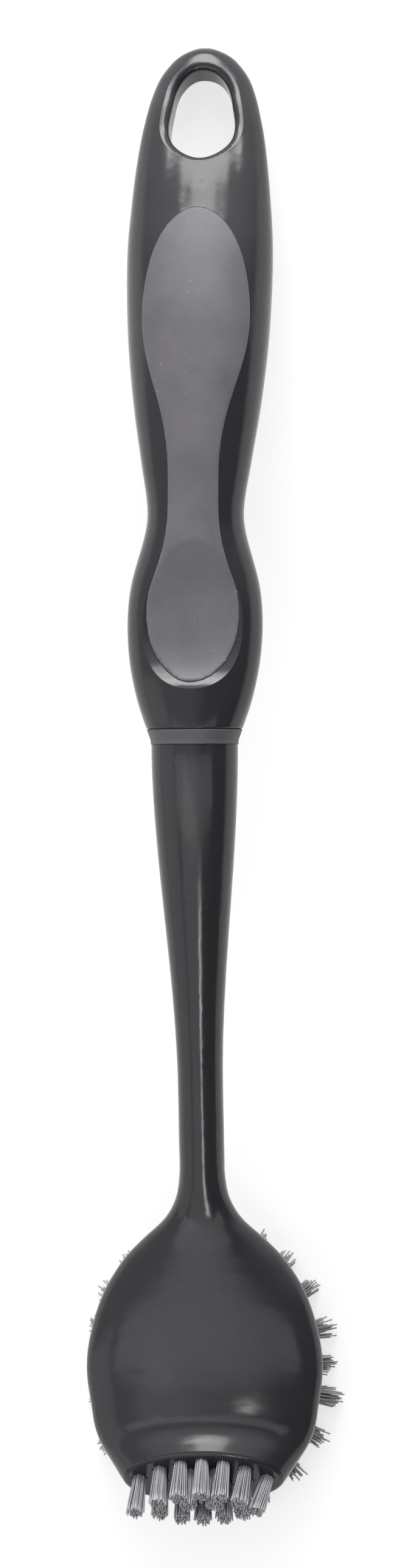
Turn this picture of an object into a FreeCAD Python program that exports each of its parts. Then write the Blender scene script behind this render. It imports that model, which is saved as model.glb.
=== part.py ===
import FreeCAD, Part
import math
import os

from FreeCAD import Placement, Rotation, Vector

# A dish brush that lies on its bristle tips and on the end of its handle.
# X runs across the brush, Y along it towards the hanging hole, Z up from the table.

doc = FreeCAD.newDocument("dish_brush")
sheet = doc.addObject("Spreadsheet::Sheet", "sizes")

# Driving sizes in millimetres, angles in degrees
SIZES = (
    ("grip_length", 134.5, "grip, from its mouth at the collar to the loop end"),
    ("palm_width", 28.8, "grip at the palm swell, across"),
    ("palm_depth", 22.0, "grip at the palm swell, top to bottom"),
    ("mouth_width", 18.9, "grip mouth and upper face of the collar, across"),
    ("mouth_depth", 16.0, "grip mouth and upper face of the collar, top to bottom"),
    ("mouth_height", 35.2, "centre of the mouth, collar and shoulder above the table"),
    ("hole_length", 21.6, "hanging hole, along the grip"),
    ("hole_width", 13.0, "hanging hole, across"),
    ("hole_from_end", 7.0, "hanging hole to the loop end, both at the height of the table"),
    ("hole_tilt", 21.0, "lean of the hanging hole towards the loop end, in degrees"),
    ("hole_rim_radius", 1.3, "rounding of both rims of the hanging hole"),
    ("pad_length", 93.6, "soft pad, along the grip"),
    ("pad_width", 21.4, "soft pad, widest across"),
    ("pad_from_mouth", 9.0, "soft pad to the grip mouth"),
    ("pad_thickness", 1.8, "soft pad below the grip surface"),
    ("pad_proud", 0.3, "soft pad above the grip surface"),
    ("dish_from_mouth", 27.0, "lowest point of the thumb dish to the grip mouth"),
    ("dish_floor_rise", 2.25, "lowest point of the thumb dish above the mouth centre"),
    ("dish_across", 28.0, "radius of the thumb dish ellipsoid across"),
    ("dish_along", 20.5, "radius of the thumb dish ellipsoid along the grip"),
    ("dish_tall", 8.4, "radius of the thumb dish ellipsoid upwards"),
    ("collar_length", 2.8, "collar ring, along the brush"),
    ("shoulder_width", 17.0, "stem at the collar, across"),
    ("shoulder_depth", 14.4, "stem at the collar, top to bottom"),
    ("joint_gap", 0.15, "hairline gap between the collar and the shoulder"),
    ("edge_radius", 0.35, "rounding of the mouth and shoulder edges"),
    ("stem_length", 88.8, "stem, from the collar to the neck"),
    ("neck_diameter", 8.9, "stem at its thinnest"),
    ("spigot_diameter", 10.4, "round root of the tang inside the collar"),
    ("tang_diameter", 6.4, "cross-shaped tang, over its ribs"),
    ("tang_length", 16.0, "tang inside the grip"),
    ("tang_drop", 2.0, "tang below the centre of the mouth, clear of the thumb dish"),
    ("tang_rib", 2.4, "thickness of each tang rib"),
    ("press_clearance", 0.05, "gap all round the pressed tang and spigot"),
    ("head_length", 61.8, "head, from the neck to the foot of its front face"),
    ("head_width", 46.5, "head, widest across"),
    ("head_depth", 14.0, "depth of the full ellipse that the head top follows"),
    ("rim_height", 19.0, "rim of the head above the table"),
    ("face_height", 16.0, "bristle face under the head above the table"),
    ("front_rise", 41.0, "front tufts above the horizontal, in degrees"),
    ("front_width", 31.0, "sloping front face, across"),
    ("front_depth", 16.0, "sloping front face, from its foot to the brow"),
    ("front_middle", 9.1, "middle of the front face, up from where its slope meets the bristle face"),
    ("brow_radius", 1.0, "rounding all round the front face"),
    ("rim_radius", 0.6, "rounding of the lower rim of the head"),
    ("tuft_hole", 2.3, "diameter of each tuft hole"),
    ("tuft_hole_depth", 4.8, "depth of each tuft hole"),
    ("tuft_clearance", 0.03, "gap round a tuft root and round an anchor"),
    ("tuft_tip", 3.4, "diameter of a tuft at its tip"),
    ("front_tuft_length", 8.8, "front tufts outside the face"),
    ("front_pitch", 4.2, "front tufts apart, across"),
    ("upper_row_rise", 14.6, "middle of the upper front row, up the face"),
    ("upper_row_sag", 4.9, "ends of the upper front row below its middle"),
    ("middle_row_rise", 11.6, "middle front row, up the face"),
    ("lower_row_rise", 7.2, "middle of the lower front row, up the face"),
    ("lower_row_lift", 1.8, "ends of the lower front row above its middle"),
    ("field_from_tip", 28.5, "centre of the underside tuft field to the tip"),
    ("field_width", 30.6, "outer underside ring, across"),
    ("field_length", 34.6, "outer underside ring, along"),
    ("outer_lean", 23.0, "lean of the outer underside tufts at the sides, in degrees"),
    ("anchor_width", 3.2, "anchor plate, across the hole"),
    ("anchor_height", 1.5, "anchor plate, along the hole"),
    ("anchor_thickness", 0.35, "anchor plate, through"),
    ("anchor_fold", 1.0, "tuft folded below the anchor plate"),
    ("overrun", 5.0, "how far a cutting form runs past what it cuts"),
)
for row, (alias, value, note) in enumerate(SIZES, start=1):
    sheet.set(f"A{row}", note)
    sheet.set(f"B{row}", str(value))
    sheet.setAlias(f"B{row}", alias)
doc.recompute()

# Grip cross-sections from the mouth to the loop end: share of the grip length, of the palm
# width, of the palm depth, and of the climb from the resting loop to the mouth
grip_shares = (
    (0.020, 0.722, 0.743, 0.995),
    (0.040, 0.780, 0.757, 0.986),
    (0.060, 0.827, 0.764, 0.978),
    (0.080, 0.865, 0.768, 0.969),
    (0.100, 0.894, 0.768, 0.958),
    (0.120, 0.912, 0.764, 0.946),
    (0.140, 0.922, 0.757, 0.934),
    (0.160, 0.922, 0.750, 0.923),
    (0.180, 0.912, 0.741, 0.912),
    (0.200, 0.891, 0.732, 0.901),
    (0.220, 0.854, 0.720, 0.890),
    (0.240, 0.803, 0.709, 0.881),
    (0.260, 0.748, 0.700, 0.871),
    (0.280, 0.698, 0.693, 0.861),
    (0.305, 0.660, 0.691, 0.847),
    (0.335, 0.673, 0.707, 0.826),
    (0.370, 0.725, 0.743, 0.794),
    (0.410, 0.785, 0.802, 0.752),
    (0.455, 0.851, 0.868, 0.699),
    (0.505, 0.910, 0.934, 0.639),
    (0.560, 0.960, 0.982, 0.574),
    (0.615, 0.988, 1.000, 0.512),
    (0.670, 1.000, 0.952, 0.449),
    (0.720, 0.990, 0.880, 0.388),
    (0.765, 0.958, 0.795, 0.327),
    (0.805, 0.923, 0.711, 0.275),
    (0.840, 0.883, 0.630, 0.224),
    (0.870, 0.840, 0.561, 0.177),
    (0.895, 0.792, 0.511, 0.139),
    (0.918, 0.740, 0.475, 0.098),
    (0.938, 0.680, 0.441, 0.058),
    (0.956, 0.605, 0.393, 0.031),
    (0.972, 0.500, 0.339, 0.012),
    (0.984, 0.394, 0.282, 0.000),
    (0.992, 0.280, 0.218, 0.000),
    (0.997, 0.172, 0.145, 0.000),
    (1.000, 0.024, 0.020, 0.000),
)
loop_rest_share = 0.309

# Soft pad outline: share of the pad length from its lower end, share of its half width
pad_outline_shares = (
    (0.000, 0.000), (0.022, 0.450), (0.060, 0.700), (0.105, 0.830), (0.145, 0.858), (0.190, 0.820),
    (0.240, 0.670), (0.285, 0.555), (0.335, 0.485), (0.400, 0.469), (0.480, 0.490), (0.550, 0.585),
    (0.620, 0.755), (0.690, 0.925), (0.765, 1.000), (0.840, 0.950), (0.900, 0.830), (0.950, 0.630),
    (0.985, 0.350), (1.000, 0.000),
)

# Hanging hole outline: share of the hole length from the loop end, share of its half width
hole_outline_shares = (
    (0.000, 0.000), (0.075, 0.530), (0.200, 0.770), (0.400, 0.910), (0.620, 1.000), (0.800, 0.880),
    (0.925, 0.560), (1.000, 0.000),
)

# Stem from the shoulder to the neck: even steps, the share of the length where the taper ends,
# and how softly it bends down from the level shoulder
STEM_STEPS = 18
taper_share = 0.76
bend_share = 0.20

# Head cross-sections from the neck on: share of the head length, share of the way from neck to
# head width, from neck to head depth, and of the drop from the mouth to the rim height
head_shares = (
    (-0.039, 0.012, 0.013, 0.795),
    (0.000, 0.038, 0.030, 0.830),
    (0.038, 0.091, 0.080, 0.875),
    (0.078, 0.184, 0.170, 0.915),
    (0.117, 0.325, 0.300, 0.945),
    (0.156, 0.464, 0.440, 0.970),
    (0.194, 0.583, 0.570, 0.985),
    (0.241, 0.695, 0.700, 0.995),
    (0.298, 0.805, 0.820, 1.000),
    (0.364, 0.892, 0.920, 1.000),
    (0.435, 0.957, 0.980, 1.000),
)

# Nose cross-sections, leaning back to the slope of the front face: share of the head length, share
# of the way from head to front width, from head to front depth, from rim to front height, and of
# the full lean
nose_shares = (
    (0.518, 0.000, 0.000, 0.000, 0.100),
    (0.599, 0.020, 0.000, 0.000, 0.240),
    (0.672, 0.110, 0.050, 0.000, 0.410),
    (0.729, 0.181, 0.150, 0.000, 0.585),
    (0.777, 0.310, 0.300, 0.050, 0.730),
    (0.826, 0.542, 0.500, 0.310, 0.855),
    (0.869, 0.781, 0.750, 0.680, 0.940),
)

# Underside rings from the outside in: share of the field size, share of the outer lean, tufts
ring_shares = ((1.00, 1.00, 22), (0.70, 0.55, 16), (0.42, 0.32, 9), (0.15, 0.10, 3))
# Each ring starts half a step from the middle line; the field is squarer than an ellipse
half_step_share = 0.5
squareness_share = 1.6
# Tufts towards the tip lean this share more than those at the sides, those towards the neck less
fan_share = 0.2
# The two middle front tufts stand this share of the pitch from the middle line
middle_row_share = 0.6

# Places along Y, each worked out from the sizes
FRONT_OVERHANG = (
    "(sizes.front_tuft_length * cos(sizes.front_rise) + sizes.tuft_tip / 2 * sin(sizes.front_rise)"
    " - sizes.lower_row_rise * sin(sizes.front_rise))"
)
LOOP_END = (
    "((sizes.grip_length + sizes.collar_length + sizes.stem_length + sizes.head_length"
    f" + {FRONT_OVERHANG}) / 2)"
)
MOUTH = f"({LOOP_END} - sizes.grip_length)"
SHOULDER = f"({MOUTH} - sizes.collar_length)"
NECK = f"({SHOULDER} - sizes.stem_length)"
TIP = f"({NECK} - sizes.head_length)"
TANG_HEIGHT = "(sizes.mouth_height - sizes.tang_drop)"
LOOP_HEIGHT = f"(sizes.palm_depth * {loop_rest_share} / 2)"
ACROSS_Y = Rotation(Vector(1, 0, 0), 90)
ALONG_Y = Rotation(Vector(1, 0, 0), -90)


def worked_out(expression):
    """Value of an expression on the sheet, as a plain number."""
    return float(sheet.evalExpression(expression.replace("sizes.", "")))


def bind(thing, **expressions):
    """Bind properties of a document object; place_x, place_y and place_z are its position."""
    for name, expression in expressions.items():
        path = f".Placement.Base.{name[-1]}" if name.startswith("place_") else name
        thing.setExpression(path, expression)
    return thing


def add(kind, name, rotation=Rotation(), **expressions):
    """New document object with its turn set and its sizes and place bound."""
    thing = doc.addObject(kind, name)
    thing.Placement = Placement(Vector(), rotation)
    return bind(thing, **expressions)


def ellipse(name, along, width, depth, height, lean="0"):
    """Elliptical cross-section at a place along the brush, leaning back by an angle."""
    section = add("Part::Ellipse", name, ACROSS_Y, MajorRadius=f"({width}) / 2",
                  MinorRadius=f"({depth}) / 2", place_y=along, place_z=height)
    section.setExpression(".Placement.Rotation.Angle", f"90 - ({lean})")
    return section


def loft(name, sections):
    """Smooth solid through cross-sections."""
    solid = doc.addObject("Part::Loft", name)
    solid.Sections = sections
    solid.Solid = True
    return solid


def boolean(kind, name, base, tool):
    """Part::Cut or Part::Common of two objects."""
    result = doc.addObject(kind, name)
    result.Base = base
    result.Tool = tool
    return result


def fuse(name, *pieces):
    """One solid from touching pieces."""
    result = doc.addObject("Part::MultiFuse", name)
    result.Shapes = pieces
    result.Refine = True
    return result


def shifted(name, source, height):
    """Copy of an object's shape, moved up by an expression."""
    copy = doc.addObject("Part::Compound", name)
    copy.Links = [source]
    return bind(copy, place_z=height)


def rounded(name, base, *roundings):
    """Fillet edges of an object; each rounding is a radius and the test that picks its edges."""
    doc.recompute()
    fillet = doc.addObject("Part::Fillet", name)
    fillet.Base = base
    edges = list(enumerate(base.Shape.Edges, start=1))
    fillet.Edges = [(n, radius, radius) for radius, wanted in roundings for n, edge in edges if wanted(edge)]
    return fillet


def outline_prism(name, shares, length, width, start, direction, lean):
    """Prism of a closed smooth outline that is alike left and right, leaning towards the loop end."""
    along = [(start + direction * length * share, width / 2 * half) for share, half in shares]
    right = [Vector(x, y) for y, x in along]
    left = [Vector(-x, y) for y, x in reversed(along[1:-1])]
    curve = Part.BSplineCurve()
    curve.interpolate(right + left, PeriodicFlag=True)
    outline = doc.addObject("Part::Feature", f"{name}_outline")
    outline.Shape = Part.Face(Part.Wire(curve.toShape()))
    prism = doc.addObject("Part::Extrusion", name)
    prism.Base = outline
    prism.DirMode = "Custom"
    prism.Dir = Vector(0, math.sin(lean), math.cos(lean))
    prism.Solid = True
    return bind(prism, LengthFwd="sizes.mouth_height + sizes.palm_depth", LengthRev="sizes.overrun")


def lies_at(expression):
    """Edge test: a whole edge in the cross plane at a place along the brush."""
    place = worked_out(expression)
    slack = sheet.press_clearance

    def wanted(edge):
        box = edge.BoundBox
        return abs(box.YMin - place) < slack and abs(box.YMax - place) < slack

    return wanted


# Grip form with its thumb dish
mouth_section = ellipse("mouth_section", MOUTH, "sizes.mouth_width", "sizes.mouth_depth",
                        "sizes.mouth_height")
grip_sections = [mouth_section]
for number, (along, width, depth, climb) in enumerate(grip_shares, start=1):
    grip_sections.append(ellipse(
        f"grip_section_{number}",
        f"{MOUTH} + sizes.grip_length * {along}",
        f"sizes.palm_width * {width}",
        f"sizes.palm_depth * {depth}",
        f"{LOOP_HEIGHT} + (sizes.mouth_height - {LOOP_HEIGHT}) * {climb}",
    ))
grip_form = loft("grip_form", grip_sections)
dish = add(
    "Part::Ellipsoid", "thumb_dish", Radius1="sizes.dish_tall", Radius2="sizes.dish_across",
    Radius3="sizes.dish_along", place_y=f"{MOUTH} + sizes.dish_from_mouth",
    place_z="sizes.mouth_height + sizes.dish_floor_rise + sizes.dish_tall",
)
dished_grip = boolean("Part::Cut", "dished_grip", grip_form, dish)

# Soft pad, let into the top of the grip
pad_prism = outline_prism("pad_prism", pad_outline_shares, sheet.pad_length, sheet.pad_width,
                          worked_out(MOUTH) + sheet.pad_from_mouth, 1, 0)
raised_grip = shifted("raised_grip", dished_grip, "sizes.pad_proud")
lowered_grip = shifted("lowered_grip", dished_grip, "-sizes.pad_thickness")
pad_top = boolean("Part::Common", "pad_top", raised_grip, pad_prism)
grip_pad = boolean("Part::Cut", "grip_pad", pad_top, lowered_grip)

# Handle body: grip form with hanging hole, pad recess and tang socket
hole_prism = outline_prism("hole_prism", hole_outline_shares, sheet.hole_length, sheet.hole_width,
                           worked_out(LOOP_END) - sheet.hole_from_end, -1,
                           math.radians(sheet.hole_tilt))
holed_grip = boolean("Part::Cut", "holed_grip", dished_grip, hole_prism)
hole_middle = Vector(0, worked_out(LOOP_END) - sheet.hole_from_end - sheet.hole_length / 2)


def on_hole_rim(edge):
    """Edge test: an edge that goes round the hanging hole."""
    middle = edge.BoundBox.Center
    near = Vector(middle.x, middle.y).distanceToPoint(hole_middle) < sheet.hole_length / 3
    return near and edge.BoundBox.XLength > sheet.hole_width / 2


rimmed_grip = rounded("rimmed_grip", holed_grip, (sheet.hole_rim_radius, on_hole_rim))
mouthed_grip = rounded("mouthed_grip", rimmed_grip, (sheet.edge_radius, lies_at(MOUTH)))
recessed_grip = boolean("Part::Cut", "recessed_grip", mouthed_grip, grip_pad)
socket = add("Part::Cylinder", "socket", ALONG_Y,
             Radius="sizes.tang_diameter / 2 + sizes.press_clearance",
             Height="sizes.tang_length + sizes.press_clearance + sizes.overrun",
             place_y=f"{MOUTH} - sizes.overrun", place_z=TANG_HEIGHT)
handle_body = boolean("Part::Cut", "handle_body", recessed_grip, socket)

# Collar ring, threaded on the spigot between grip and stem
collar_section = ellipse("collar_section", f"{SHOULDER} + sizes.joint_gap", "sizes.shoulder_width",
                         "sizes.shoulder_depth", "sizes.mouth_height")
collar_form = loft("collar_form", [mouth_section, collar_section])
collar_bore = add("Part::Cylinder", "collar_bore", ALONG_Y,
                  Radius="sizes.spigot_diameter / 2 + sizes.press_clearance",
                  Height="sizes.collar_length + 2 * sizes.overrun",
                  place_y=f"{SHOULDER} - sizes.overrun", place_z="sizes.mouth_height")
collar_ring = boolean("Part::Cut", "collar_ring", collar_form, collar_bore)

# Stem and head form
stem_sections = []
for step in range(STEM_STEPS):
    along = step / STEM_STEPS
    taper = min(along / taper_share, 1)
    size = 1 - taper ** 2 * (3 - 2 * taper)
    drop = math.hypot(along, bend_share) - bend_share
    stem_sections.append(ellipse(
        f"stem_section_{step + 1}",
        f"{SHOULDER} - sizes.stem_length * {along}",
        f"sizes.neck_diameter + (sizes.shoulder_width - sizes.neck_diameter) * {size}",
        f"sizes.neck_diameter + (sizes.shoulder_depth - sizes.neck_diameter) * {size}",
        f"sizes.mouth_height - (sizes.mouth_height - sizes.rim_height) * {drop}",
    ))
for number, (along, width, depth, drop) in enumerate(head_shares, start=1):
    stem_sections.append(ellipse(
        f"head_section_{number}",
        f"{NECK} - sizes.head_length * {along}",
        f"sizes.neck_diameter + (sizes.head_width - sizes.neck_diameter) * {width}",
        f"sizes.neck_diameter + (sizes.head_depth - sizes.neck_diameter) * {depth}",
        f"sizes.mouth_height - (sizes.mouth_height - sizes.rim_height) * {drop}",
    ))
FRONT_PLACE = f"({TIP} + sizes.front_middle * sin(sizes.front_rise))"
FRONT_HEIGHT = "(sizes.face_height + sizes.front_middle * cos(sizes.front_rise))"
for number, (along, narrow, deep, rise, lean) in enumerate(nose_shares, start=1):
    stem_sections.append(ellipse(
        f"nose_section_{number}",
        f"{NECK} - sizes.head_length * {along}",
        f"sizes.head_width + (sizes.front_width - sizes.head_width) * {narrow}",
        f"sizes.head_depth + (sizes.front_depth - sizes.head_depth) * {deep}",
        f"sizes.rim_height + ({FRONT_HEIGHT} - sizes.rim_height) * {rise}",
        f"sizes.front_rise * {lean}",
    ))
stem_sections.append(ellipse("front_section", FRONT_PLACE, "sizes.front_width", "sizes.front_depth",
                             FRONT_HEIGHT, "sizes.front_rise"))
stem_form = loft("stem_form", stem_sections)

# Flat bristle face
under_space = add(
    "Part::Box", "under_space",
    Length="sizes.head_width + 2 * sizes.overrun", Width="sizes.head_length + 2 * sizes.overrun",
    Height="sizes.face_height + sizes.overrun",
    place_x="-sizes.head_width / 2 - sizes.overrun", place_y=f"{TIP} - sizes.overrun",
    place_z="-sizes.overrun",
)
faced_head = boolean("Part::Cut", "faced_head", stem_form, under_space)


def on_brow(edge):
    """Edge test: the edge all round the sloping front face."""
    middle = Vector(0, worked_out(FRONT_PLACE), worked_out(FRONT_HEIGHT))
    return edge.CenterOfMass.distanceToPoint(middle) < sheet.brow_radius


def on_lower_rim(edge):
    """Edge test: the long edge round the bristle face."""
    flat = edge.BoundBox.ZLength < sheet.press_clearance
    return flat and edge.BoundBox.ZMin < sheet.rim_height and edge.Length > sheet.head_width


rimmed_head = rounded("rimmed_head", faced_head, (sheet.brow_radius, on_brow),
                      (sheet.rim_radius, on_lower_rim))
shouldered_head = rounded("shouldered_head", rimmed_head, (sheet.edge_radius, lies_at(SHOULDER)))

# Tang and spigot that hold the stem in the grip
spigot = add("Part::Cylinder", "spigot", ALONG_Y, Radius="sizes.spigot_diameter / 2",
             Height="sizes.collar_length + sizes.overrun",
             place_y=f"{SHOULDER} - sizes.overrun", place_z="sizes.mouth_height")
tang_round = add("Part::Cylinder", "tang_round", ALONG_Y, Radius="sizes.tang_diameter / 2",
                 Height="sizes.tang_length + sizes.overrun",
                 place_y=f"{MOUTH} - sizes.overrun", place_z=TANG_HEIGHT)
tang_upright = add("Part::Box", "tang_upright", Length="sizes.tang_rib",
                   Width="sizes.tang_length + sizes.overrun", Height="sizes.tang_diameter",
                   place_x="-sizes.tang_rib / 2", place_y=f"{MOUTH} - sizes.overrun",
                   place_z=f"{TANG_HEIGHT} - sizes.tang_diameter / 2")
tang_flat = add("Part::Box", "tang_flat", Length="sizes.tang_diameter",
                Width="sizes.tang_length + sizes.overrun", Height="sizes.tang_rib",
                place_x="-sizes.tang_diameter / 2", place_y=f"{MOUTH} - sizes.overrun",
                place_z=f"{TANG_HEIGHT} - sizes.tang_rib / 2")
tang = boolean("Part::Common", "tang", fuse("tang_cross", tang_upright, tang_flat), tang_round)
head_blank = fuse("head_blank", shouldered_head, spigot, tang)

# One tuft hole with the slits that its anchor plate is pressed through
HOLE_RADIUS = "sizes.tuft_hole / 2"
ANCHOR_FOOT = "(sizes.anchor_fold - sizes.tuft_hole_depth)"
drill = add("Part::Cylinder", "drill", Radius=HOLE_RADIUS,
            Height="sizes.tuft_hole_depth + sizes.overrun", place_z="-sizes.tuft_hole_depth")
slit = add("Part::Box", "slit",
           Length="sizes.anchor_width + 2 * sizes.tuft_clearance",
           Width="sizes.anchor_thickness + 2 * sizes.tuft_clearance",
           Height=f"sizes.overrun - {ANCHOR_FOOT} + sizes.tuft_clearance",
           place_x="-sizes.anchor_width / 2 - sizes.tuft_clearance",
           place_y="-sizes.anchor_thickness / 2 - sizes.tuft_clearance",
           place_z=f"{ANCHOR_FOOT} - sizes.tuft_clearance")
hole_tool = fuse("hole_tool", drill, slit)
anchor = add("Part::Box", "anchor", Length="sizes.anchor_width", Width="sizes.anchor_thickness",
             Height="sizes.anchor_height", place_x="-sizes.anchor_width / 2",
             place_y="-sizes.anchor_thickness / 2", place_z=ANCHOR_FOOT)
anchor_space = add("Part::Box", "anchor_space", Length="sizes.anchor_width",
                   Width="sizes.anchor_thickness + 2 * sizes.tuft_clearance",
                   Height="sizes.anchor_height + 2 * sizes.tuft_clearance",
                   place_x="-sizes.anchor_width / 2",
                   place_y="-sizes.anchor_thickness / 2 - sizes.tuft_clearance",
                   place_z=f"{ANCHOR_FOOT} - sizes.tuft_clearance")


def tuft_form(name, length):
    """Tuft that stands in its hole, folded round its anchor and flared to its tip."""
    root = add("Part::Cylinder", f"{name}_root", Radius=f"{HOLE_RADIUS} - sizes.tuft_clearance",
               Height="sizes.tuft_hole_depth - sizes.tuft_clearance",
               place_z="sizes.tuft_clearance - sizes.tuft_hole_depth")
    free = add("Part::Cone", f"{name}_free", Radius1=f"{HOLE_RADIUS} - sizes.tuft_clearance",
               Radius2="sizes.tuft_tip / 2", Height=length)
    return boolean("Part::Cut", name, fuse(f"{name}_whole", root, free), anchor_space)


front_tuft = tuft_form("front_tuft", "sizes.front_tuft_length")
under_tuft = tuft_form("under_tuft", "(sizes.face_height + sizes.tuft_tip) / cos(sizes.outer_lean)")
doc.recompute()

# Places of the front tufts on the sloping face: across, and up from its foot
front_frame = Placement(
    Vector(0, worked_out(TIP), sheet.face_height),
    Rotation(Vector(1, 0, 0), 90 - sheet.front_rise),
)


def front_row(columns, rise, bend):
    """Tuft places in a row; bend is how far its ends lie above its middle."""
    reach = max(columns)
    spots = [(column * sheet.front_pitch, rise + bend * (column / reach) ** 2) for column in columns]
    return [front_frame * Placement(Vector(x, up), Rotation()) for x, up in spots]


front_rows = {
    "upper": front_row((-3, -2, -1, 0, 1, 2, 3), sheet.upper_row_rise, -sheet.upper_row_sag),
    "middle": front_row((-middle_row_share, middle_row_share), sheet.middle_row_rise, 0),
    "lower": front_row((-2, -1, 0, 1, 2), sheet.lower_row_rise, sheet.lower_row_lift),
}


def under_ring(size_share, lean_share, count):
    """Tuft places on one rounded ring under the head, each leaning outwards."""
    places = []
    for step in range(count):
        turn = 2 * math.pi * (step + half_step_share) / count
        around = Vector(math.sin(turn), math.cos(turn))
        power = 2 * squareness_share
        lean = math.radians(sheet.outer_lean * lean_share * (1 - fan_share * around.y))
        bulge = (abs(around.x) ** power + abs(around.y) ** power) ** (-1 / power)
        x = around.x * bulge * size_share * sheet.field_width / 2
        y = around.y * bulge * size_share * sheet.field_length / 2
        outward = Vector(x, y).normalize()
        aim = outward * math.sin(lean) - Vector(0, 0, math.cos(lean))
        root = Vector(x, worked_out(TIP) + sheet.field_from_tip + y, sheet.face_height)
        places.append(Placement(root, Rotation(Vector(1, 0, 0), Vector(), aim, "ZXY")))
    return places


under_rings = {f"ring_{n}": under_ring(*shares) for n, shares in enumerate(ring_shares, start=1)}


def group(name, master, places):
    """One object with a copy of a master shape at each place."""
    copies = []
    for place in places:
        copy = master.Shape.copy()
        copy.Placement = place * copy.Placement
        copies.append(copy)
    holder = doc.addObject("Part::Feature", name)
    holder.Shape = Part.makeCompound(copies)
    return holder


# Tuft rows, tuft rings and their anchor plates
nodes = {"handle_body": handle_body, "grip_pad": grip_pad, "collar_ring": collar_ring}
table = add("Part::Box", "table", Length="sizes.head_width * 2", Width="sizes.head_length * 2",
            Height="sizes.face_height", place_x="-sizes.head_width",
            place_y=f"{TIP} - sizes.head_length / 2", place_z="-sizes.face_height")
for row, places in front_rows.items():
    for number, place in enumerate(places, start=1):
        tuft = doc.addObject("Part::Feature", f"front_tuft_{row}_{number}")
        tuft.Shape = front_tuft.Shape
        tuft.Placement = place
        nodes[f"front_tuft_{row}_{number}"] = tuft
    nodes[f"front_anchors_{row}"] = group(f"front_anchors_{row}", anchor, places)
for ring, places in under_rings.items():
    untrimmed = group(f"untrimmed_tufts_{ring}", under_tuft, places)
    nodes[f"underside_tufts_{ring}"] = boolean("Part::Cut", f"underside_tufts_{ring}", untrimmed, table)
    nodes[f"underside_anchors_{ring}"] = group(f"underside_anchors_{ring}", anchor, places)
all_places = sum(list(front_rows.values()) + list(under_rings.values()), [])
all_holes = group("all_holes", hole_tool, all_places)
nodes["stem_and_head"] = boolean("Part::Cut", "stem_and_head", head_blank, all_holes)
doc.recompute()

# Every object is sound before anything is written
for thing in doc.Objects:
    if "Invalid" in thing.State or "Error" in thing.State:
        raise RuntimeError(f"{thing.Name} failed: {thing.State}")
for name, node in nodes.items():
    node.Label = name
    if node.Shape.isNull() or not node.Shape.isValid():
        raise RuntimeError(f"{name} has no valid shape")

os.makedirs("parts", exist_ok=True)
for name, node in nodes.items():
    node.Shape.exportStep(f"parts/{name}.step")
    print(f"{name}: {len(node.Shape.Solids)} solids, {node.Shape.Volume:.1f} mm3")
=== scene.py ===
import math
import random

import bmesh
import bpy
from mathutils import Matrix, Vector


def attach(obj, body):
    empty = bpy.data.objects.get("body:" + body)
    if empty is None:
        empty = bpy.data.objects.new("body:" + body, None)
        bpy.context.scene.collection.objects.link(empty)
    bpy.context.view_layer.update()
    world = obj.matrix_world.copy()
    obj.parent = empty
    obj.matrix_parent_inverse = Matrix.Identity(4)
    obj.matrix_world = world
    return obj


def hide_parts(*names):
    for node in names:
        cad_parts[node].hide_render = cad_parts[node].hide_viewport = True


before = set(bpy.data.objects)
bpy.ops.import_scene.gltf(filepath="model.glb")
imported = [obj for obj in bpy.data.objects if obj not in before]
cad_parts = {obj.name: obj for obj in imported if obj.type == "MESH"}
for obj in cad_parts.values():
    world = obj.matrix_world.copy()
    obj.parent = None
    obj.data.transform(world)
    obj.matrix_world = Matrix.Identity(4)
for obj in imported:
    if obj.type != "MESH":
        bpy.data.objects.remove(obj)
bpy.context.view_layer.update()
scene = bpy.context.scene
scene.view_settings.view_transform = "Standard"

MM = 0.001
DEGREE = math.pi / 180
SAME_PLACE = 0.001 * MM


def linear(hex_colour):
    """Linear RGBA of an sRGB hex colour."""
    shares = [int(hex_colour[place:place + 2], 16) / 255 for place in (1, 3, 5)]
    return [s / 12.92 if s <= 0.04045 else ((s + 0.055) / 1.055) ** 2.4 for s in shares] + [1.0]


def add_node(tree, kind, sockets=(), **settings):
    """Add a node with its settings; sockets pairs an input with a value or with an output to link."""
    made = tree.nodes.new(kind)
    for name, value in settings.items():
        setattr(made, name, value)
    for place, value in sockets:
        if isinstance(value, bpy.types.NodeSocket):
            tree.links.new(value, made.inputs[place])
        else:
            made.inputs[place].default_value = value
    return made


def pattern_scale(size_mm):
    """Texture scale at which one cell of a pattern is this many millimetres wide."""
    return 1 / (size_mm * MM)


def new_finish(name, **surface):
    """Material with a Principled shader; surface gives its constant sockets, with _ for a space."""
    finish = bpy.data.materials.new(name)
    finish.use_nodes = True
    shader = finish.node_tree.nodes["Principled BSDF"]
    for socket, value in surface.items():
        shader.inputs[socket.replace("_", " ")].default_value = value
    return finish, finish.node_tree, shader


# Camera: straight above the brush, leaning a little to its right, as the photograph was taken; a pixel of
# the frame is measured at the height it aims at
FRAME_HIGH = 2576
PIXEL_MM = 0.1196
CAMERA_LEAN = 4.85 * DEGREE
CAMERA_ROLL = 0.2825 * DEGREE
CAMERA_AWAY = 3.0
CAMERA_REACH = 100.0
SENSOR_WIDTH = 36
AIMED_AT = Vector((-0.97, 0.13, 20.0)) * MM

camera_data = bpy.data.cameras.new("camera")
camera_data.sensor_width = SENSOR_WIDTH
camera_data.lens = SENSOR_WIDTH * CAMERA_AWAY / (FRAME_HIGH * PIXEL_MM * MM)
camera_data.clip_end = CAMERA_REACH
camera = bpy.data.objects.new("camera", camera_data)
camera.location = AIMED_AT + Vector((math.sin(CAMERA_LEAN), 0, math.cos(CAMERA_LEAN))) * CAMERA_AWAY
camera.rotation_euler = (0, CAMERA_LEAN, 0)
camera.rotation_euler.rotate_axis("Z", -CAMERA_ROLL)
scene.collection.objects.link(camera)
scene.camera = camera

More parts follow.
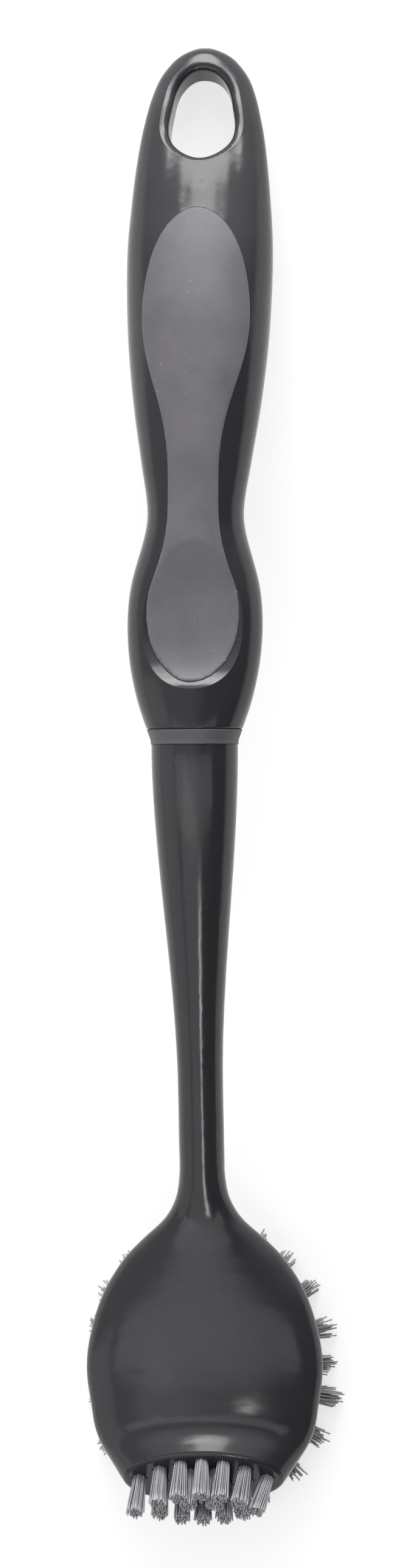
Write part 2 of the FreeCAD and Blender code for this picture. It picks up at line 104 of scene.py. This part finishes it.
# Floor: plain white paper just under the brush, which keeps its shadow; the lift whitens it to the eye
FLOOR_HALF = 60.0
FLOOR_DROP = 0.05 * MM
FLOOR_LIFT = 0.66
floor_mesh = bpy.data.meshes.new("floor")
floor_mesh.from_pydata(
    [(x * FLOOR_HALF, y * FLOOR_HALF, -FLOOR_DROP) for x, y in ((-1, -1), (1, -1), (1, 1), (-1, 1))],
    [], [(0, 1, 2, 3)],
)
floor = bpy.data.objects.new("floor", floor_mesh)
scene.collection.objects.link(floor)

paper, tree, shader = new_finish("white_paper_sweep", Roughness=0.9, Specular_IOR_Level=0.1,
                                 Base_Color=linear("#B6B6B6"))
path = add_node(tree, "ShaderNodeLightPath")
seen = add_node(tree, "ShaderNodeMath", [(0, path.outputs["Is Camera Ray"]),
                                         (1, path.outputs["Is Glossy Ray"])], operation="MAXIMUM")
seen = add_node(tree, "ShaderNodeMath", [(0, seen.outputs[0]),
                                         (1, path.outputs["Is Transmission Ray"])], operation="MAXIMUM")
lift = add_node(tree, "ShaderNodeMath", [(0, seen.outputs[0]), (1, FLOOR_LIFT)], operation="MULTIPLY")
glow = add_node(tree, "ShaderNodeEmission", [("Strength", lift.outputs[0])])
both = add_node(tree, "ShaderNodeAddShader", [(0, shader.outputs[0]), (1, glow.outputs[0])])
tree.links.new(both.outputs[0], tree.nodes["Material Output"].inputs["Surface"])
floor_mesh.materials.append(paper)

# Room light: pale on the left, beyond the loop end and along the horizon, dim on the right
room = bpy.data.worlds.new("studio")
room.use_nodes = True
scene.world = room
tree = room.node_tree
towards = add_node(tree, "ShaderNodeTexCoord")
parts = add_node(tree, "ShaderNodeSeparateXYZ", [(0, towards.outputs["Generated"])])
across = add_node(tree, "ShaderNodeMapRange", [
    ("Value", parts.outputs["X"]), ("From Min", -0.10), ("From Max", 0.35),
    ("To Min", 0.55), ("To Max", 0.14)], interpolation_type="SMOOTHSTEP")
ahead = add_node(tree, "ShaderNodeMapRange", [
    ("Value", parts.outputs["Y"]), ("From Min", 0.20), ("From Max", 0.75),
    ("To Min", 0.10), ("To Max", 1.1)], interpolation_type="SMOOTHSTEP")
above = add_node(tree, "ShaderNodeMapRange", [
    ("Value", parts.outputs["Z"]), ("From Min", 0.01), ("From Max", 0.10),
    ("To Min", 0.9), ("To Max", 0.0)], interpolation_type="SMOOTHSTEP")
glow = add_node(tree, "ShaderNodeMath", [
    (0, across.outputs[0]), (1, ahead.outputs[0])], operation="MAXIMUM")
glow = add_node(tree, "ShaderNodeMath", [
    (0, glow.outputs[0]), (1, above.outputs[0])], operation="MAXIMUM")
tree.nodes["Background"].inputs["Color"].default_value = linear("#FFFFFF")
tree.links.new(glow.outputs[0], tree.nodes["Background"].inputs["Strength"])


def soft_box(name, lean_x, lean_y, away, wide, long, glow):
    """Soft box seen from the brush at two leans from the zenith in degrees; glow is how bright it looks."""
    data = bpy.data.lights.new(name, "AREA")
    data.shape = "RECTANGLE"
    data.size = wide
    data.size_y = long
    data.energy = glow * math.pi * wide * long
    lamp = bpy.data.objects.new(name, data)
    aim = Vector((math.tan(lean_x * DEGREE), math.tan(lean_y * DEGREE), 1)).normalized()
    lamp.location = aim * away
    lamp.rotation_mode = "QUATERNION"
    lamp.rotation_quaternion = aim.to_track_quat("Z", "Y")
    lamp.visible_camera = False
    scene.collection.objects.link(lamp)


# Lamps: three keys beyond the loop end, a scrim over the head, a small box for the bright line on the
# stem, and two scrims on the left
soft_box("key_low", 0, 73, 0.8, 0.85, 0.17, 9.0)
soft_box("key_middle", 0, 63, 0.8, 0.49, 0.14, 6.8)
soft_box("key_high", 0, 54, 0.8, 0.25, 0.14, 5.4)
soft_box("head_scrim", 0, -12, 0.46, 0.80, 0.14, 0.95)
soft_box("streak_box", 12, -31.5, 0.5, 0.053, 0.096, 11.0)
soft_box("left_scrim_inner", -18, -30, 1.6, 1.0, 1.1, 0.55)
soft_box("left_scrim_outer", -66, -30, 1.6, 0.9, 1.1, 0.55)


# Gloss polypropylene, moulded in a polished tool: near-black graphite with a clear reflection, a faint
# swirl in its tone, slightly uneven gloss and a few specks of dust
def graphite_plastic(name, dark, light, gloss):
    finish, tree, shader = new_finish(name, IOR=1.49)
    place = add_node(tree, "ShaderNodeTexCoord").outputs["Object"]
    swirl = add_node(tree, "ShaderNodeTexNoise", [
        ("Vector", place), ("Scale", pattern_scale(14)), ("Detail", 3.0), ("Distortion", 0.8)])
    tone = add_node(tree, "ShaderNodeMix", [
        (0, swirl.outputs["Fac"]), (6, linear(dark)), (7, linear(light))], data_type="RGBA")
    # Dust is nearer 0.1 mm; drawn from a 0.7 mm pattern so that it shows
    specks = add_node(tree, "ShaderNodeTexNoise", [
        ("Vector", place), ("Scale", pattern_scale(0.7)), ("Detail", 1.0)])
    dust = add_node(tree, "ShaderNodeMapRange", [
        ("Value", specks.outputs["Fac"]), ("From Min", 0.74), ("From Max", 0.80),
        ("To Min", 0.0), ("To Max", 0.12)])
    dusted = add_node(tree, "ShaderNodeMix", [
        (0, dust.outputs[0]), (6, tone.outputs[2]), (7, linear("#8C8A8F"))], data_type="RGBA")
    tree.links.new(dusted.outputs[2], shader.inputs["Base Color"])
    handling = add_node(tree, "ShaderNodeTexNoise", [
        ("Vector", place), ("Scale", pattern_scale(4)), ("Detail", 4.0)])
    rough = add_node(tree, "ShaderNodeMapRange", [
        ("Value", handling.outputs["Fac"]), ("From Min", 0.3), ("From Max", 0.75),
        ("To Min", gloss), ("To Max", gloss + 0.05)])
    tree.links.new(rough.outputs[0], shader.inputs["Roughness"])
    peel = add_node(tree, "ShaderNodeTexNoise", [
        ("Vector", place), ("Scale", pattern_scale(6)), ("Detail", 2.0)])
    bump = add_node(tree, "ShaderNodeBump", [
        ("Height", peel.outputs["Fac"]), ("Strength", 0.25), ("Distance", 0.05 * MM)])
    tree.links.new(bump.outputs[0], shader.inputs["Normal"])
    return finish


# Soft thermoplastic rubber, moulded in a spark-eroded tool: matte mid grey with cloudy handling marks,
# a fine grain and pale lint
def soft_rubber(name, dark, light):
    finish, tree, shader = new_finish(name, IOR=1.5)
    place = add_node(tree, "ShaderNodeTexCoord").outputs["Object"]
    clouds = add_node(tree, "ShaderNodeTexNoise", [
        ("Vector", place), ("Scale", pattern_scale(11)), ("Detail", 8.0), ("Roughness", 0.68)])
    cloudy = add_node(tree, "ShaderNodeMapRange", [
        ("Value", clouds.outputs["Fac"]), ("From Min", 0.35), ("From Max", 0.68)])
    tone = add_node(tree, "ShaderNodeMix", [
        (0, cloudy.outputs[0]), (6, linear(dark)), (7, linear(light))], data_type="RGBA")
    # Lint is nearer 0.2 mm; drawn from a 0.9 mm pattern so that it shows
    specks = add_node(tree, "ShaderNodeTexNoise", [
        ("Vector", place), ("Scale", pattern_scale(0.9)), ("Detail", 2.0)])
    lint = add_node(tree, "ShaderNodeMapRange", [
        ("Value", specks.outputs["Fac"]), ("From Min", 0.72), ("From Max", 0.78),
        ("To Min", 0.0), ("To Max", 0.4)])
    linted = add_node(tree, "ShaderNodeMix", [
        (0, lint.outputs[0]), (6, tone.outputs[2]), (7, linear("#A9A7AC"))], data_type="RGBA")
    tree.links.new(linted.outputs[2], shader.inputs["Base Color"])
    rough = add_node(tree, "ShaderNodeMapRange", [
        ("Value", clouds.outputs["Fac"]), ("From Min", 0.3), ("From Max", 0.7),
        ("To Min", 0.42), ("To Max", 0.52)])
    tree.links.new(rough.outputs[0], shader.inputs["Roughness"])
    # Spark-eroded grain is about 0.1 mm; drawn at 0.35 mm so that it shows
    grain = add_node(tree, "ShaderNodeTexNoise", [
        ("Vector", place), ("Scale", pattern_scale(0.35)), ("Detail", 2.0)])
    bump = add_node(tree, "ShaderNodeBump", [
        ("Height", grain.outputs["Fac"]), ("Strength", 0.35), ("Distance", 0.03 * MM)])
    tree.links.new(bump.outputs[0], shader.inputs["Normal"])
    return finish


# Extruded nylon filament: satin, each strand a little lighter or darker than the next; towards the cut end
# the colour is lightened, partly the paler flagged end and partly painted light that lifts the shade on the
# tips
def nylon_bristle(name, dark, light, end):
    finish, tree, shader = new_finish(name, IOR=1.53, Roughness=0.36)
    strand = add_node(tree, "ShaderNodeAttribute", attribute_name="strand_shade")
    tone = add_node(tree, "ShaderNodeMix", [
        (0, strand.outputs["Fac"]), (6, linear(dark)), (7, linear(light))], data_type="RGBA")
    along = add_node(tree, "ShaderNodeAttribute", attribute_name="strand_along")
    # Last fifth of each strand drawn paler: flagged cut ends, and painted light lifting tips that lie in
    # shade
    flagged_end_and_painted_light = add_node(tree, "ShaderNodeMapRange", [
        ("Value", along.outputs["Fac"]), ("From Min", 0.80), ("From Max", 1.0),
        ("To Min", 0.0), ("To Max", 0.8)])
    paled = add_node(tree, "ShaderNodeMix", [
        (0, flagged_end_and_painted_light.outputs[0]), (6, tone.outputs[2]), (7, linear(end))], data_type="RGBA")
    tree.links.new(paled.outputs[2], shader.inputs["Base Color"])
    return finish


# Cold-rolled steel wire, flattened: grey metal with an uneven sheen
def rolled_steel(name):
    finish, tree, shader = new_finish(name, Metallic=1.0, Base_Color=linear("#A8A6A4"))
    place = add_node(tree, "ShaderNodeTexCoord").outputs["Object"]
    sheen = add_node(tree, "ShaderNodeTexNoise", [("Vector", place), ("Scale", pattern_scale(0.2))])
    rough = add_node(tree, "ShaderNodeMapRange", [
        ("Value", sheen.outputs["Fac"]), ("To Min", 0.25), ("To Max", 0.45)])
    tree.links.new(rough.outputs[0], shader.inputs["Roughness"])
    return finish


grip_finish = graphite_plastic("moulded_polypropylene_grip", "#262529", "#2C2B30", 0.14)
stem_finish = graphite_plastic("moulded_polypropylene_stem", "#262529", "#2C2B30", 0.15)
pad_finish = soft_rubber("soft_rubber_pad", "#5A585D", "#666469")
# The collar is the pad's rubber drawn a little darker: painted shade, for a ring that faces away from the
# key lights
painted_shade_collar_finish = soft_rubber("soft_rubber_collar", "#525055", "#5C5A5F")
front_finish = nylon_bristle("nylon_front_bristle", "#848287", "#A6A4A9", "#C3C1C6")
under_finish = nylon_bristle("nylon_underside_bristle", "#66646A", "#8A888D", "#A6A4A9")
steel_finish = rolled_steel("rolled_steel_anchor")

shown_nodes = {"handle_body": grip_finish, "stem_and_head": stem_finish}
for name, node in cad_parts.items():
    finish = steel_finish if "anchors" in name else shown_nodes.get(name)
    if finish:
        node.data.materials.clear()
        node.data.materials.append(finish)

# Lip of a rubber ring: height of the band that is drawn out, and how near the outside it begins
LIP_BAND = 0.5 * MM
LIP_INNER_SHARE = 0.93


def draw_out_lip(corners, reach):
    """Square the lower outer edge of a ring and draw it down over the shoulder below."""
    low = min(corner.co.y for corner in corners)
    band = [corner for corner in corners if corner.co.y < low + LIP_BAND]
    half_width = max(corner.co.x for corner in band)
    bottom = min(corner.co.z for corner in band)
    half_depth = (max(corner.co.z for corner in band) - bottom) / 2
    middle = bottom + half_depth
    for corner in band:
        out = math.hypot(corner.co.x / half_width, (corner.co.z - middle) / half_depth)
        if out > LIP_INNER_SHARE:
            corner.co.x /= out
            corner.co.z = middle + (corner.co.z - middle) / out
            corner.co.y -= reach * (1 - (corner.co.y - low) / LIP_BAND)


def moulded_rubber(node, finish, cell, passes, lip=0.0):
    """Soft piece that stands for a CAD node: its solid with rounded edges, and a lip at its lower end."""
    form = bmesh.new()
    form.from_mesh(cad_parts[node].data)
    bmesh.ops.remove_doubles(form, verts=form.verts, dist=SAME_PLACE)
    mesh = bpy.data.meshes.new(f"{node}_rubber")
    form.to_mesh(mesh)
    form.free()
    piece = bpy.data.objects.new(f"{node}_rubber", mesh)
    scene.collection.objects.link(piece)
    skin = piece.modifiers.new("skin", "REMESH")
    skin.mode = "VOXEL"
    skin.voxel_size = cell * MM
    ease = piece.modifiers.new("ease", "SMOOTH")
    ease.factor = 0.5
    ease.iterations = passes
    evaluated = piece.evaluated_get(bpy.context.evaluated_depsgraph_get())
    piece.data = bpy.data.meshes.new_from_object(evaluated)
    piece.modifiers.clear()
    if lip:
        draw_out_lip(piece.data.vertices, lip * MM)
    piece.data.name = piece.name
    piece.data.materials.clear()
    piece.data.materials.append(finish)
    piece.data.polygons.foreach_set("use_smooth", [True] * len(piece.data.polygons))
    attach(piece, "root")
    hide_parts(node)


moulded_rubber("grip_pad", pad_finish, 0.35, 5)
moulded_rubber("collar_ring", painted_shade_collar_finish, 0.25, 3, lip=0.4)

# Places of the tufts in millimetres, from the sizes of the solids; the underside tufts lean 4 degrees more
TIP = -142.433
FACE_HEIGHT = 16.0
FRONT_RISE = 41 * DEGREE
FRONT_FOOT = Vector((0, TIP, FACE_HEIGHT))
FRONT_AIM = Vector((0, -math.cos(FRONT_RISE), math.sin(FRONT_RISE)))
FRONT_UP = Vector((0, math.sin(FRONT_RISE), math.cos(FRONT_RISE)))
FRONT_PITCH = 4.2
FRONT_LENGTH = 8.8
# Rows of front tufts: columns, rise of the middle one above the foot, and how much the row bends
FRONT_ROWS = {"upper": ((-3, -2, -1, 0, 1, 2, 3), 14.6, -4.9), "middle": ((-0.6, 0.6), 11.6, 0),
              "lower": ((-2, -1, 0, 1, 2), 7.2, 1.8)}
# Sideways lean of the upper front tufts, as use has bent them, and the most that others lean at random
FRONT_SWAY = (-0.06, -0.01, -0.01, 0.0, -0.03, -0.10, -0.22)
FRONT_STRAY = 0.04
UNDERSIDE_STRAY = 0.06
draw = random.Random(5)
FIELD_FROM_TIP = 28.5
FIELD_MIDDLE = TIP + FIELD_FROM_TIP
FIELD_HALF = (30.6 / 2, 34.6 / 2)
FIELD_POWER = 3.2
OUTER_LEAN = 27 * DEGREE
FAN_SHARE = 0.2
# Underside rings: share of the field, share of the lean, number of tufts
RINGS = ((1.00, 1.00, 22), (0.70, 0.55, 16), (0.42, 0.32, 9), (0.15, 0.10, 3))
HOLE_RADIUS = 1.15
TIP_RADIUS = 1.7


def front_places():
    """Node name, root and aim of each front tuft."""
    for row, (columns, rise, bend) in FRONT_ROWS.items():
        for number, column in enumerate(columns, start=1):
            up = rise + bend * (column / max(columns)) ** 2
            root = FRONT_FOOT + Vector((column * FRONT_PITCH, 0, 0)) + FRONT_UP * up
            if row == "upper":
                sway = FRONT_SWAY[number - 1]
            else:
                sway = draw.uniform(-FRONT_STRAY, FRONT_STRAY)
            aim = (FRONT_AIM + Vector((sway, 0, 0))).normalized()
            yield f"front_tuft_{row}_{number}", root, aim


def ring_places(size_share, lean_share, count):
    """Root and aim of each tuft of one underside ring."""
    for step in range(count):
        turn = 2 * math.pi * (step + 0.5) / count
        x, y = math.sin(turn), math.cos(turn)
        lean = OUTER_LEAN * lean_share * (1 - FAN_SHARE * y)
        bulge = (abs(x) ** FIELD_POWER + abs(y) ** FIELD_POWER) ** (-1 / FIELD_POWER) * size_share
        spot = Vector((x * bulge * FIELD_HALF[0], y * bulge * FIELD_HALF[1], 0))
        aim = spot.normalized() * math.sin(lean) - Vector((0, 0, math.cos(lean)))
        yield spot + Vector((0, FIELD_MIDDLE, FACE_HEIGHT)), aim


# Turn from one strand of a tuft to the next, and what is added to the seed for each random draw
STRAND_TURN = math.pi * (3 - 5 ** 0.5)
STRAY_SEED = 17.0
SHADE_SEED = 41.0
BEND_SEED = 67.0
UNDERSIDE_SEED = 100


# Bristle tree: a bundle of strands at each point, from the hole to the flared tip
def bristle_tree():
    tree = bpy.data.node_groups.new("bristle_tufts", "GeometryNodeTree")
    for name, kind in (("Tufts", "NodeSocketGeometry"), ("Strands", "NodeSocketInt"),
                       ("Root Radius", "NodeSocketFloat"), ("Tip Radius", "NodeSocketFloat"),
                       ("Strand Radius", "NodeSocketFloat"), ("Uneven", "NodeSocketFloat"),
                       ("Stray", "NodeSocketFloat"), ("Curl", "NodeSocketFloat"),
                       ("Trimmed", "NodeSocketFloat"), ("Seed", "NodeSocketInt"),
                       ("Finish", "NodeSocketMaterial")):
        tree.interface.new_socket(name, in_out="INPUT", socket_type=kind)
    tree.interface.new_socket("Bristles", in_out="OUTPUT", socket_type="NodeSocketGeometry")
    given = add_node(tree, "NodeGroupInput").outputs
    spots = add_node(tree, "GeometryNodeMeshToPoints", [("Mesh", given["Tufts"])])
    strands = add_node(tree, "GeometryNodeDuplicateElements", [
        ("Geometry", spots.outputs[0]), ("Amount", given["Strands"])], domain="POINT")
    index = strands.outputs["Duplicate Index"]

    # Even spiral of strands over the round hole
    middle = add_node(tree, "ShaderNodeMath", [(0, index), (1, 0.5)], operation="ADD")
    share = add_node(tree, "ShaderNodeMath", [
        (0, middle.outputs[0]), (1, given["Strands"])], operation="DIVIDE")
    out = add_node(tree, "ShaderNodeMath", [(0, share.outputs[0])], operation="SQRT")
    turn = add_node(tree, "ShaderNodeMath", [(0, index), (1, STRAND_TURN)], operation="MULTIPLY")
    cos = add_node(tree, "ShaderNodeMath", [(0, turn.outputs[0])], operation="COSINE")
    sin = add_node(tree, "ShaderNodeMath", [(0, turn.outputs[0])], operation="SINE")
    aim = add_node(tree, "GeometryNodeInputNamedAttribute", [
        ("Name", "aim")], data_type="FLOAT_VECTOR").outputs[0]
    reach = add_node(tree, "GeometryNodeInputNamedAttribute", [
        ("Name", "reach")], data_type="FLOAT").outputs[0]
    side = add_node(tree, "ShaderNodeVectorMath", [(0, aim), (1, (1, 0, 0))], operation="CROSS_PRODUCT")
    side = add_node(tree, "ShaderNodeVectorMath", [(0, side.outputs[0])], operation="NORMALIZE")
    other = add_node(tree, "ShaderNodeVectorMath", [
        (0, aim), (1, side.outputs[0])], operation="CROSS_PRODUCT")
    side = add_node(tree, "ShaderNodeVectorMath", [
        (0, side.outputs[0]), ("Scale", cos.outputs[0])], operation="SCALE")
    other = add_node(tree, "ShaderNodeVectorMath", [
        (0, other.outputs[0]), ("Scale", sin.outputs[0])], operation="SCALE")
    spoke = add_node(tree, "ShaderNodeVectorMath", [
        (0, side.outputs[0]), (1, other.outputs[0])], operation="ADD")
    spoke = add_node(tree, "ShaderNodeVectorMath", [
        (0, spoke.outputs[0]), ("Scale", out.outputs[0])], operation="SCALE")

    # Root in the hole, tip at the end of the strand with its own length and stray
    here = add_node(tree, "GeometryNodeInputPosition").outputs[0]
    root = add_node(tree, "ShaderNodeVectorMath", [
        (0, spoke.outputs[0]), ("Scale", given["Root Radius"])], operation="SCALE")
    root = add_node(tree, "ShaderNodeVectorMath", [(0, here), (1, root.outputs[0])], operation="ADD")
    fan = add_node(tree, "ShaderNodeVectorMath", [
        (0, spoke.outputs[0]), ("Scale", given["Tip Radius"])], operation="SCALE")
    seed = given["Seed"]
    short = add_node(tree, "FunctionNodeRandomValue", [("Seed", seed)], data_type="FLOAT")
    short = add_node(tree, "ShaderNodeMath", [
        (0, short.outputs[1]), (1, given["Uneven"])], operation="MULTIPLY")
    long = add_node(tree, "ShaderNodeMath", [(0, 1.0), (1, short.outputs[0])], operation="SUBTRACT")
    long = add_node(tree, "ShaderNodeMath", [(0, long.outputs[0]), (1, reach)], operation="MULTIPLY")
    ahead = add_node(tree, "ShaderNodeVectorMath", [
        (0, aim), ("Scale", long.outputs[0])], operation="SCALE")
    stray_seed = add_node(tree, "ShaderNodeMath", [(0, seed), (1, STRAY_SEED)], operation="ADD")
    stray = add_node(tree, "FunctionNodeRandomValue", [
        ("Min", (-1, -1, -1)), ("Max", (1, 1, 1)), ("Seed", stray_seed.outputs[0])],
        data_type="FLOAT_VECTOR")
    stray = add_node(tree, "ShaderNodeVectorMath", [
        (0, stray.outputs[0]), ("Scale", given["Stray"])], operation="SCALE")
    tip = add_node(tree, "ShaderNodeVectorMath", [(0, here), (1, ahead.outputs[0])], operation="ADD")
    tip = add_node(tree, "ShaderNodeVectorMath", [
        (0, tip.outputs[0]), (1, fan.outputs[0])], operation="ADD")
    tip = add_node(tree, "ShaderNodeVectorMath", [
        (0, tip.outputs[0]), (1, stray.outputs[0])], operation="ADD")

    # A trimmed strand is cut just above the table
    root_z = add_node(tree, "ShaderNodeSeparateXYZ", [(0, root.outputs[0])]).outputs["Z"]
    tip_z = add_node(tree, "ShaderNodeSeparateXYZ", [(0, tip.outputs[0])]).outputs["Z"]
    stub = add_node(tree, "ShaderNodeMath", [(0, short.outputs[0]), (1, reach)], operation="MULTIPLY")
    to_table = add_node(tree, "ShaderNodeMath", [
        (0, root_z), (1, stub.outputs[0])], operation="SUBTRACT")
    fall = add_node(tree, "ShaderNodeMath", [(0, root_z), (1, tip_z)], operation="SUBTRACT")
    kept = add_node(tree, "ShaderNodeMath", [
        (0, to_table.outputs[0]), (1, fall.outputs[0])], operation="DIVIDE")
    run = add_node(tree, "ShaderNodeVectorMath", [
        (0, tip.outputs[0]), (1, root.outputs[0])], operation="SUBTRACT")
    cut = add_node(tree, "ShaderNodeVectorMath", [
        (0, run.outputs[0]), ("Scale", kept.outputs[0])], operation="SCALE")
    run = add_node(tree, "ShaderNodeMix", [
        (0, given["Trimmed"]), (4, run.outputs[0]), (5, cut.outputs[0])], data_type="VECTOR")
    shade_seed = add_node(tree, "ShaderNodeMath", [(0, seed), (1, SHADE_SEED)], operation="ADD")
    shade = add_node(tree, "FunctionNodeRandomValue", [
        ("Seed", shade_seed.outputs[0])], data_type="FLOAT")
    bend_seed = add_node(tree, "ShaderNodeMath", [(0, seed), (1, BEND_SEED)], operation="ADD")
    bend = add_node(tree, "FunctionNodeRandomValue", [
        ("Min", (-1, -1, 0)), ("Max", (1, 1, 0)), ("Seed", bend_seed.outputs[0])],
        data_type="FLOAT_VECTOR")
    bend = add_node(tree, "ShaderNodeVectorMath", [
        (0, bend.outputs[0]), ("Scale", given["Curl"])], operation="SCALE")
    points = strands.outputs["Geometry"]
    for name, kind, value in (("strand_root", "FLOAT_VECTOR", root.outputs[0]),
                              ("strand_run", "FLOAT_VECTOR", run.outputs[1]),
                              ("strand_bend", "FLOAT_VECTOR", bend.outputs[0]),
                              ("strand_shade", "FLOAT", shade.outputs[1])):
        points = add_node(tree, "GeometryNodeStoreNamedAttribute", [
            ("Geometry", points), ("Name", name), ("Value", value)], data_type=kind).outputs[0]

    # One short curve for each strand, laid from its root to its tip and given its thickness
    line = add_node(tree, "GeometryNodeCurvePrimitiveLine", [("End", (0, 0, 1))])
    line = add_node(tree, "GeometryNodeResampleCurve", [("Curve", line.outputs[0]), ("Count", 4)])
    laid = add_node(tree, "GeometryNodeInstanceOnPoints", [
        ("Points", points), ("Instance", line.outputs[0])])
    laid = add_node(tree, "GeometryNodeRealizeInstances", [("Geometry", laid.outputs[0])])
    along = add_node(tree, "GeometryNodeSplineParameter").outputs["Factor"]
    stored = [add_node(tree, "GeometryNodeInputNamedAttribute", [("Name", name)],
                       data_type="FLOAT_VECTOR").outputs[0]
              for name in ("strand_root", "strand_run", "strand_bend")]
    run = add_node(tree, "ShaderNodeVectorMath", [(0, stored[1]), ("Scale", along)], operation="SCALE")
    curve = add_node(tree, "ShaderNodeMath", [(0, along), (1, along)], operation="MULTIPLY")
    bend = add_node(tree, "ShaderNodeVectorMath", [
        (0, stored[2]), ("Scale", curve.outputs[0])], operation="SCALE")
    place = add_node(tree, "ShaderNodeVectorMath", [
        (0, stored[0]), (1, run.outputs[0])], operation="ADD")
    place = add_node(tree, "ShaderNodeVectorMath", [
        (0, place.outputs[0]), (1, bend.outputs[0])], operation="ADD")
    laid = add_node(tree, "GeometryNodeSetPosition", [
        ("Geometry", laid.outputs[0]), ("Position", place.outputs[0])])
    laid = add_node(tree, "GeometryNodeStoreNamedAttribute", [
        ("Geometry", laid.outputs[0]), ("Name", "strand_along"), ("Value", along)], data_type="FLOAT")
    ring = add_node(tree, "GeometryNodeCurvePrimitiveCircle", [
        ("Resolution", 6), ("Radius", given["Strand Radius"])])
    bodies = add_node(tree, "GeometryNodeCurveToMesh", [
        ("Curve", laid.outputs[0]), ("Profile Curve", ring.outputs[0]), ("Fill Caps", True)])
    whole = add_node(tree, "GeometryNodeRealizeInstances", [("Geometry", bodies.outputs[0])])
    done = add_node(tree, "GeometryNodeSetMaterial", [
        ("Geometry", whole.outputs[0]), ("Material", given["Finish"])])
    add_node(tree, "NodeGroupOutput", [("Bristles", done.outputs[0])])
    return tree


BRISTLES = bristle_tree()
BRISTLE_INPUTS = {item.name: item.identifier for item in BRISTLES.interface.items_tree
                  if item.item_type == "SOCKET" and item.in_out == "INPUT"}


def bristle_piece(node, tufts, slot, **sizes):
    """Bristles that stand for one CAD node; tufts gives root, aim and reach of each, in millimetres."""
    mesh = bpy.data.meshes.new(f"{node}_spots")
    mesh.from_pydata([root * MM for root, _, _ in tufts], [], [])
    mesh.attributes.new("aim", "FLOAT_VECTOR", "POINT")
    mesh.attributes.new("reach", "FLOAT", "POINT")
    for number, (_, aim, reach) in enumerate(tufts):
        mesh.attributes["aim"].data[number].vector = aim
        mesh.attributes["reach"].data[number].value = reach * MM
    piece = bpy.data.objects.new(f"{node}_bristles", mesh)
    scene.collection.objects.link(piece)
    growth = piece.modifiers.new("bristles", "NODES")
    growth.node_group = BRISTLES
    for name, value in sizes.items():
        growth[BRISTLE_INPUTS[name.replace("_", " ")]] = value
    evaluated = piece.evaluated_get(bpy.context.evaluated_depsgraph_get())
    grown = bpy.data.meshes.new_from_object(evaluated)
    piece.modifiers.remove(growth)
    piece.data = grown
    grown.name = piece.name
    grown.polygons.foreach_set("use_smooth", [True] * len(grown.polygons))
    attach(piece, "root")
    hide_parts(node)


for seed, (node, root, aim) in enumerate(front_places(), start=1):
    bristle_piece(node, [(root, aim, FRONT_LENGTH)], "front_bristle", Strands=60,
                  Root_Radius=1.06 * HOLE_RADIUS * MM, Tip_Radius=TIP_RADIUS * MM,
                  Strand_Radius=0.14 * MM, Uneven=0.04, Stray=0.18 * MM, Curl=0.15 * MM,
                  Trimmed=0.0, Seed=seed, Finish=front_finish)
for number, shares in enumerate(RINGS, start=1):
    tufts = []
    for root, aim in ring_places(*shares):
        stray = [draw.uniform(-UNDERSIDE_STRAY, UNDERSIDE_STRAY) for _ in "xy"]
        aim = (aim + Vector((*stray, 0))).normalized()
        tufts.append((root, aim, FACE_HEIGHT / -aim.z))
    bristle_piece(f"underside_tufts_ring_{number}", tufts, "underside_bristle", Strands=46,
                  Root_Radius=0.98 * HOLE_RADIUS * MM, Tip_Radius=TIP_RADIUS * MM,
                  Strand_Radius=0.135 * MM, Uneven=0.05, Stray=0.45 * MM, Curl=0.5 * MM,
                  Trimmed=1.0, Seed=UNDERSIDE_SEED + number, Finish=under_finish)
